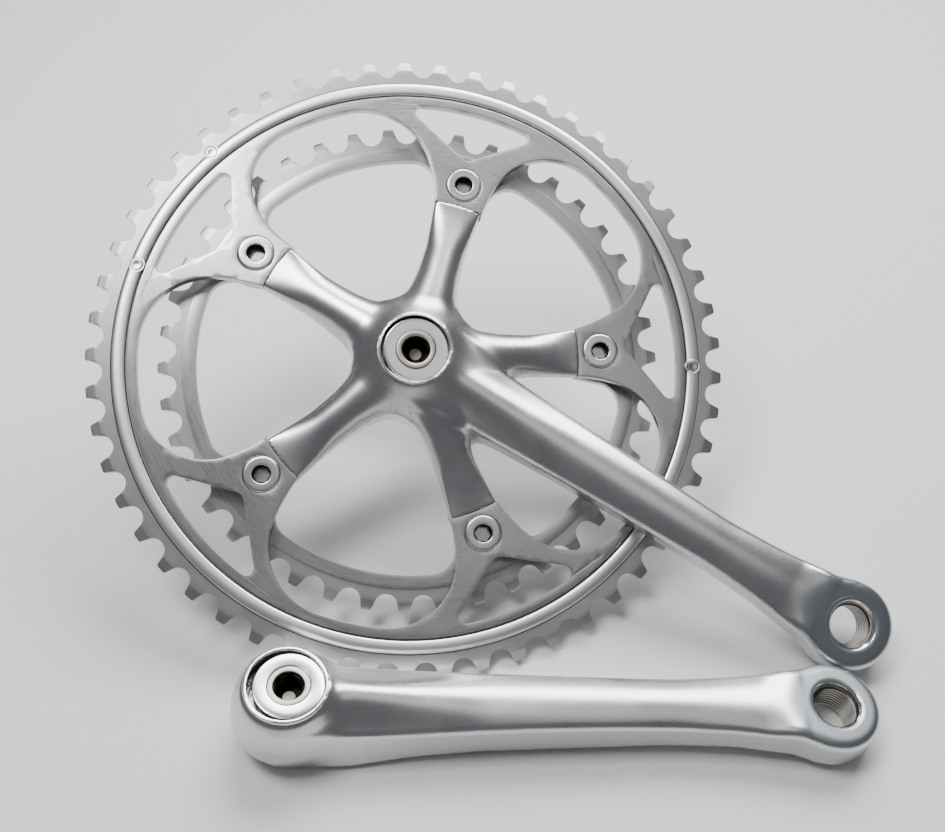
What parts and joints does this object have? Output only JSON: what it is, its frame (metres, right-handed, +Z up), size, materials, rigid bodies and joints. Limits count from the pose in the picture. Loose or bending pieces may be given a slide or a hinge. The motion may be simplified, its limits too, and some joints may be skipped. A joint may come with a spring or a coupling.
{
  "type": "bicycle crankset",
  "caption": "Double road crankset: right crank with five-arm spider and two toothed chainrings, and a loose left crank, square taper with self-extracting bolt caps",
  "frame": {"origin": "On the right crank's spindle axis, in the middle of its square taper seat, level with the front face of the outer chainring's bolt tabs.", "axes": "+Z up off the surface that the cranks lie on, +X along the loose left crank from hub to pedal eye, +Y away over the leaning chainrings. The right spindle axis leans about 32 degrees from +Z."},
  "size_m": [0.2701, 0.2188, 0.1156],
  "materials": {
    "polished_arm": "satin polished and clear anodised",
    "brushed_ring": "circular brushed, polished bead",
    "ring_bolt_steel": "satin chrome",
    "pin_steel": "bright zinc",
    "chrome_cap": "polished chrome",
    "slip_plastic": "matte black",
    "crank_bolt_steel": "dull warm plating"
  },
  "bodies": {
    "right_crank": {"right_crank_arm": "polished_arm", "outer_chainring": "brushed_ring", "inner_chainring": "brushed_ring", "chainring_bolt_1": "ring_bolt_steel", "chainring_bolt_2": "ring_bolt_steel", "chainring_bolt_3": "ring_bolt_steel", "chainring_bolt_4": "ring_bolt_steel", "chainring_bolt_5": "ring_bolt_steel", "chainring_nut_1": "ring_bolt_steel", "chainring_nut_2": "ring_bolt_steel", "chainring_nut_3": "ring_bolt_steel", "chainring_nut_4": "ring_bolt_steel", "chainring_nut_5": "ring_bolt_steel", "shift_pin_1": "pin_steel", "shift_pin_2": "pin_steel", "shift_pin_3": "pin_steel", "chain_drop_pin": "pin_steel", "right_release_cap": "chrome_cap", "right_slip_ring": "slip_plastic", "right_bolt_washer": "pin_steel"},
    "right_bolt": {"right_crank_bolt": "crank_bolt_steel"},
    "left_crank": {"left_crank_arm": "polished_arm", "left_release_cap": "chrome_cap", "left_slip_ring": "slip_plastic", "left_bolt_washer": "pin_steel"},
    "left_bolt": {"left_crank_bolt": "crank_bolt_steel"}
  },
  "joints": [
    {"name": "right_bolt_turn", "type": "hinge", "parent": "right_crank", "child": "right_bolt", "pos_m": [0, 0, 0], "axis": [0.1184, -0.5125, 0.8505], "continuous": true},
    {"name": "left_crank_lift", "type": "slide", "parent": "right_crank", "child": "left_crank", "axis": [0, -0.3499, 0.9368], "range_m": [0, 0.1]},
    {"name": "left_bolt_turn", "type": "hinge", "parent": "left_crank", "child": "left_bolt", "pos_m": [-0.0332, -0.1078, -0.04402], "axis": [0.1349, 0.0024, 0.9909], "continuous": true}
  ]
}
